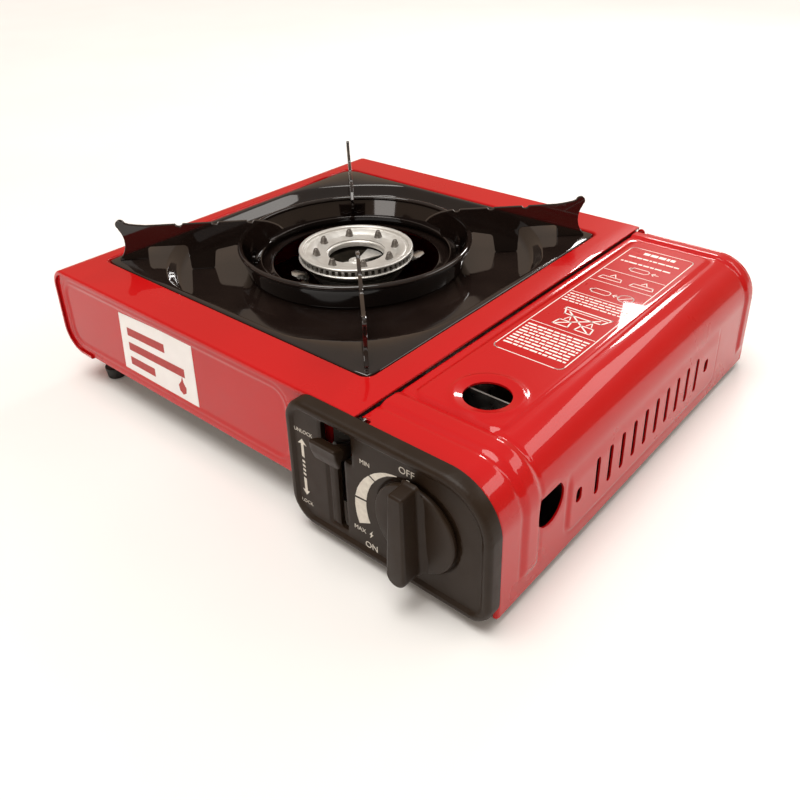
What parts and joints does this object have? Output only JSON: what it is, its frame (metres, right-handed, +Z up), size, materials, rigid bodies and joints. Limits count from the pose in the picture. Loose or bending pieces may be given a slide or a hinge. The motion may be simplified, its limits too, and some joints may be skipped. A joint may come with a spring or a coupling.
{
  "type": "camping stove",
  "caption": "Flat camping stove: red sheet-steel case, black drip pan with pot supports, round burner, gas bay under a hinged cover, turning knob and lock lever.",
  "frame": {"origin": "middle of the stove's bounding box on the surface that it stands on", "axes": "+X towards the cartridge bay, +Y to the back, away from the knob, +Z up"},
  "size_m": [0.336, 0.297, 0.102],
  "materials": {
    "red_enamel": "glossy baked enamel",
    "black_enamel": "glossy porcelain enamel",
    "panel_plastic": "fine satin texture",
    "plated_steel": "zinc plated",
    "burner_aluminium": "satin",
    "stud_steel": "satin",
    "brass": "machined",
    "cast_zinc": "as cast",
    "foot_rubber": "matt",
    "ceramic": "glazed ceramic",
    "lead_sleeve": "satin silicone sleeve",
    "igniter_plastic": "satin"
  },
  "bodies": {
    "root": {"case_wrap": "red_enamel", "base_plate": "plated_steel", "front_plate": "red_enamel", "back_plate": "red_enamel", "partition": "plated_steel", "bay_tray": "plated_steel", "bay_front_plate": "black_enamel", "bay_end_plate": "red_enamel", "regulator_bulkhead": "plated_steel", "heat_plate": "plated_steel", "feet": "foot_rubber", "case_screws": "plated_steel", "control_panel": "panel_plastic", "burner_head": "burner_aluminium", "burner_cup": "burner_aluminium", "burner_studs": "stud_steel", "burner_bridge": "burner_aluminium", "burner_stand": "plated_steel", "mixing_tube": "plated_steel", "gas_jet": "brass", "regulator_body": "cast_zinc", "socket_collar": "brass", "locating_tab": "plated_steel", "inlet_nipple": "brass", "electrode_ceramic": "ceramic", "electrode_pin": "stud_steel", "electrode_bracket": "plated_steel", "ignition_lead": "lead_sleeve", "spark_igniter": "igniter_plastic", "lever_pivot": "plated_steel", "rod_guides": "plated_steel"},
    "pan": {"drip_pan": "black_enamel", "wind_ring": "black_enamel", "support_left": "black_enamel", "support_front": "black_enamel", "support_right": "black_enamel", "support_back": "black_enamel", "support_tabs": "black_enamel", "support_rivets": "black_enamel"},
    "cover": {"cartridge_cover": "red_enamel", "cover_ears": "red_enamel", "hinge_pins": "plated_steel"},
    "knob": {"control_knob": "panel_plastic", "valve_stem": "brass", "spark_cam": "igniter_plastic"},
    "plunger": {"spark_plunger": "igniter_plastic"},
    "lever": {"lock_lever": "plated_steel", "lever_handle": "panel_plastic", "crank_pin": "plated_steel"},
    "pusher": {"link_rod": "plated_steel", "cartridge_pusher": "plated_steel"}
  },
  "joints": [
    {"name": "cover_hinge", "type": "hinge", "parent": "root", "child": "cover", "pos_m": [0.0905, 0.011, 0.0726], "axis": [0, -1, 0], "range_deg": [0, 105]},
    {"name": "pan_lift", "type": "slide", "parent": "root", "child": "pan", "axis": [0, 0, 1], "range_m": [0, 0.06]},
    {"name": "knob_turn", "type": "hinge", "parent": "root", "child": "knob", "pos_m": [0.129, -0.136, 0.0404], "axis": [0, -1, 0], "range_deg": [0, 140]},
    {"name": "spark_push", "type": "slide", "parent": "root", "child": "plunger", "axis": [-1, 0, 0], "range_m": [0, 0.004]},
    {"name": "lever_turn", "type": "hinge", "parent": "root", "child": "lever", "pos_m": [0.08, -0.096, 0.0415], "axis": [1, 0, 0], "range_deg": [0, 48]},
    {"name": "pusher_slide", "type": "slide", "parent": "root", "child": "pusher", "axis": [0, -1, 0], "range_m": [0, 0.01]}
  ],
  "couplings": [
    {"joint": "spark_push", "follows": "knob_turn", "m_per_rad": 0.001637},
    {"joint": "pusher_slide", "follows": "lever_turn", "m_per_rad": 0.011936}
  ]
}
